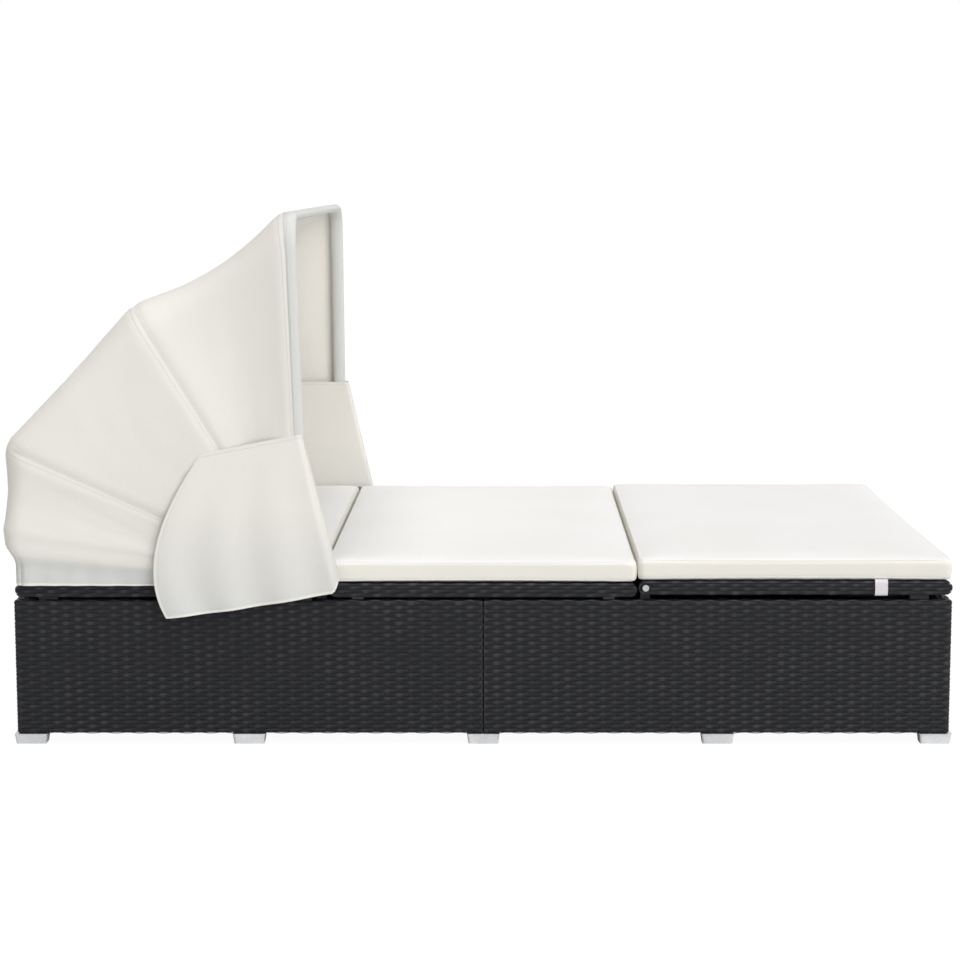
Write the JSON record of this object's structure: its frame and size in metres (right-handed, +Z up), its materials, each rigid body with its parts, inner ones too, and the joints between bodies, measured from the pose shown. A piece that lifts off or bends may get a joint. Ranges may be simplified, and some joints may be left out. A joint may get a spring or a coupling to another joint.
{
  "type": "outdoor daybed with canopy",
  "caption": "Woven outdoor daybed with loose cushions, head and leg sections that tilt on ratchet props, and a folding bow canopy with side flaps over the head end.",
  "frame": {"origin": "on the floor, under the middle of the base", "axes": "+X towards the leg end, -X towards the canopy and the head end, +Y towards the left side of someone lying face up with their head at the canopy, +Z up"},
  "size_m": [2.0193, 1.2886, 1.1346],
  "materials": {
    "weave": "flat synthetic strands, near black, plain weave, satin",
    "frame": "dark powder coat",
    "cushion": "off-white outdoor fabric over foam",
    "canopy": "cream canopy fabric",
    "foot": "silver, satin",
    "bolt": "plain steel",
    "rubber": "black rubber",
    "bow": "satin tube",
    "knob": "moulded black plastic",
    "strap": "woven webbing, near white"
  },
  "bodies": {
    "base": {"head_base_frame": "frame", "head_base_right_weave": "weave", "head_base_left_weave": "weave", "head_base_end_weave": "weave", "leg_base_frame": "frame", "leg_base_right_weave": "weave", "leg_base_left_weave": "weave", "leg_base_end_weave": "weave", "base_foot_1_right": "foot", "base_foot_1_left": "foot", "base_foot_2_right": "foot", "base_foot_2_left": "foot", "base_foot_3_right": "foot", "base_foot_3_left": "foot", "base_foot_4_right": "foot", "base_foot_4_left": "foot", "base_foot_5_right": "foot", "base_foot_5_left": "foot", "joining_bolt_right": "bolt", "joining_bolt_left": "bolt", "seat_frame": "frame", "seat_weave": "weave", "seat_cushion": "cushion", "head_rack_right": "frame", "head_rack_left": "frame", "head_bumper_right": "rubber", "head_bumper_left": "rubber", "head_hinge_bolt_right": "bolt", "head_hinge_bolt_left": "bolt", "leg_rack_right": "frame", "leg_rack_left": "frame", "leg_bumper_right": "rubber", "leg_bumper_left": "rubber", "leg_hinge_bolt_right": "bolt", "leg_hinge_bolt_left": "bolt", "canopy_bracket_right": "frame", "canopy_bracket_left": "frame", "canopy_flap_right": "canopy", "canopy_flap_left": "canopy"},
    "head_section": {"head_section_frame": "frame", "head_section_weave": "weave", "head_cushion": "cushion"},
    "head_prop": {"head_prop": "frame"},
    "leg_section": {"leg_section_frame": "frame", "leg_section_weave": "weave", "leg_cushion": "cushion", "leg_strap_right": "strap", "leg_strap_left": "strap"},
    "leg_prop": {"leg_prop": "frame"},
    "knob_right": {"canopy_knob_right": "knob"},
    "knob_left": {"canopy_knob_left": "knob"},
    "canopy_front": {"canopy_front_bow": "bow", "canopy_front_sleeve": "canopy", "canopy_front_panel": "canopy"},
    "canopy_second": {"canopy_second_bow": "bow", "canopy_middle_panel": "canopy"},
    "canopy_third": {"canopy_third_bow": "bow", "canopy_rear_panel": "canopy"},
    "canopy_rear": {"canopy_rear_bow": "bow"}
  },
  "joints": [
    {"name": "head_tilt", "type": "hinge", "parent": "base", "child": "head_section", "pos_m": [-0.345, 0, 0.3343], "axis": [0, 1, 0], "range_deg": [0, 55], "deforming": ["head_cushion"]},
    {"name": "head_prop_swing", "type": "hinge", "parent": "head_section", "child": "head_prop", "pos_m": [-0.635, 0, 0.3133], "axis": [0, 1, 0], "range_deg": [-110, 0]},
    {"name": "leg_tilt", "type": "hinge", "parent": "base", "child": "leg_section", "pos_m": [0.346, 0, 0.3393], "axis": [0, -1, 0], "range_deg": [0, 35], "deforming": ["leg_cushion"]},
    {"name": "leg_prop_swing", "type": "hinge", "parent": "leg_section", "child": "leg_prop", "pos_m": [0.636, 0, 0.3183], "axis": [0, -1, 0], "range_deg": [-70, 0]},
    {"name": "knob_right_turn", "type": "hinge", "parent": "base", "child": "knob_right", "pos_m": [-0.386, -0.62, 0.36], "axis": [0, -1, 0], "continuous": true},
    {"name": "knob_left_turn", "type": "hinge", "parent": "base", "child": "knob_left", "pos_m": [-0.386, 0.62, 0.36], "axis": [0, 1, 0], "continuous": true},
    {"name": "canopy_fold", "type": "hinge", "parent": "base", "child": "canopy_front", "pos_m": [-0.386, 0, 0.36], "axis": [0, -1, 0], "range_deg": [0, 51], "deforming": ["canopy_flap_right", "canopy_flap_left"]},
    {"name": "second_bow_fold", "type": "hinge", "parent": "canopy_front", "child": "canopy_second", "pos_m": [-0.386, 0, 0.36], "axis": [0, -1, 0], "range_deg": [-19.6, 0], "deforming": ["canopy_front_panel"]},
    {"name": "third_bow_fold", "type": "hinge", "parent": "canopy_second", "child": "canopy_third", "pos_m": [-0.386, 0, 0.36], "axis": [0, -1, 0], "range_deg": [-23.1, 0], "deforming": ["canopy_middle_panel"]},
    {"name": "rear_bow_fold", "type": "hinge", "parent": "canopy_third", "child": "canopy_rear", "pos_m": [-0.386, 0, 0.36], "axis": [0, -1, 0], "range_deg": [-8.6, 0], "deforming": ["canopy_rear_panel"]}
  ],
  "couplings": [
    {"joint": "head_prop_swing", "follows": "head_tilt", "ratio": -2},
    {"joint": "leg_prop_swing", "follows": "leg_tilt", "ratio": -2},
    {"joint": "second_bow_fold", "follows": "canopy_fold", "ratio": -0.3824},
    {"joint": "third_bow_fold", "follows": "canopy_fold", "ratio": -0.451},
    {"joint": "rear_bow_fold", "follows": "canopy_fold", "ratio": -0.16667}
  ]
}
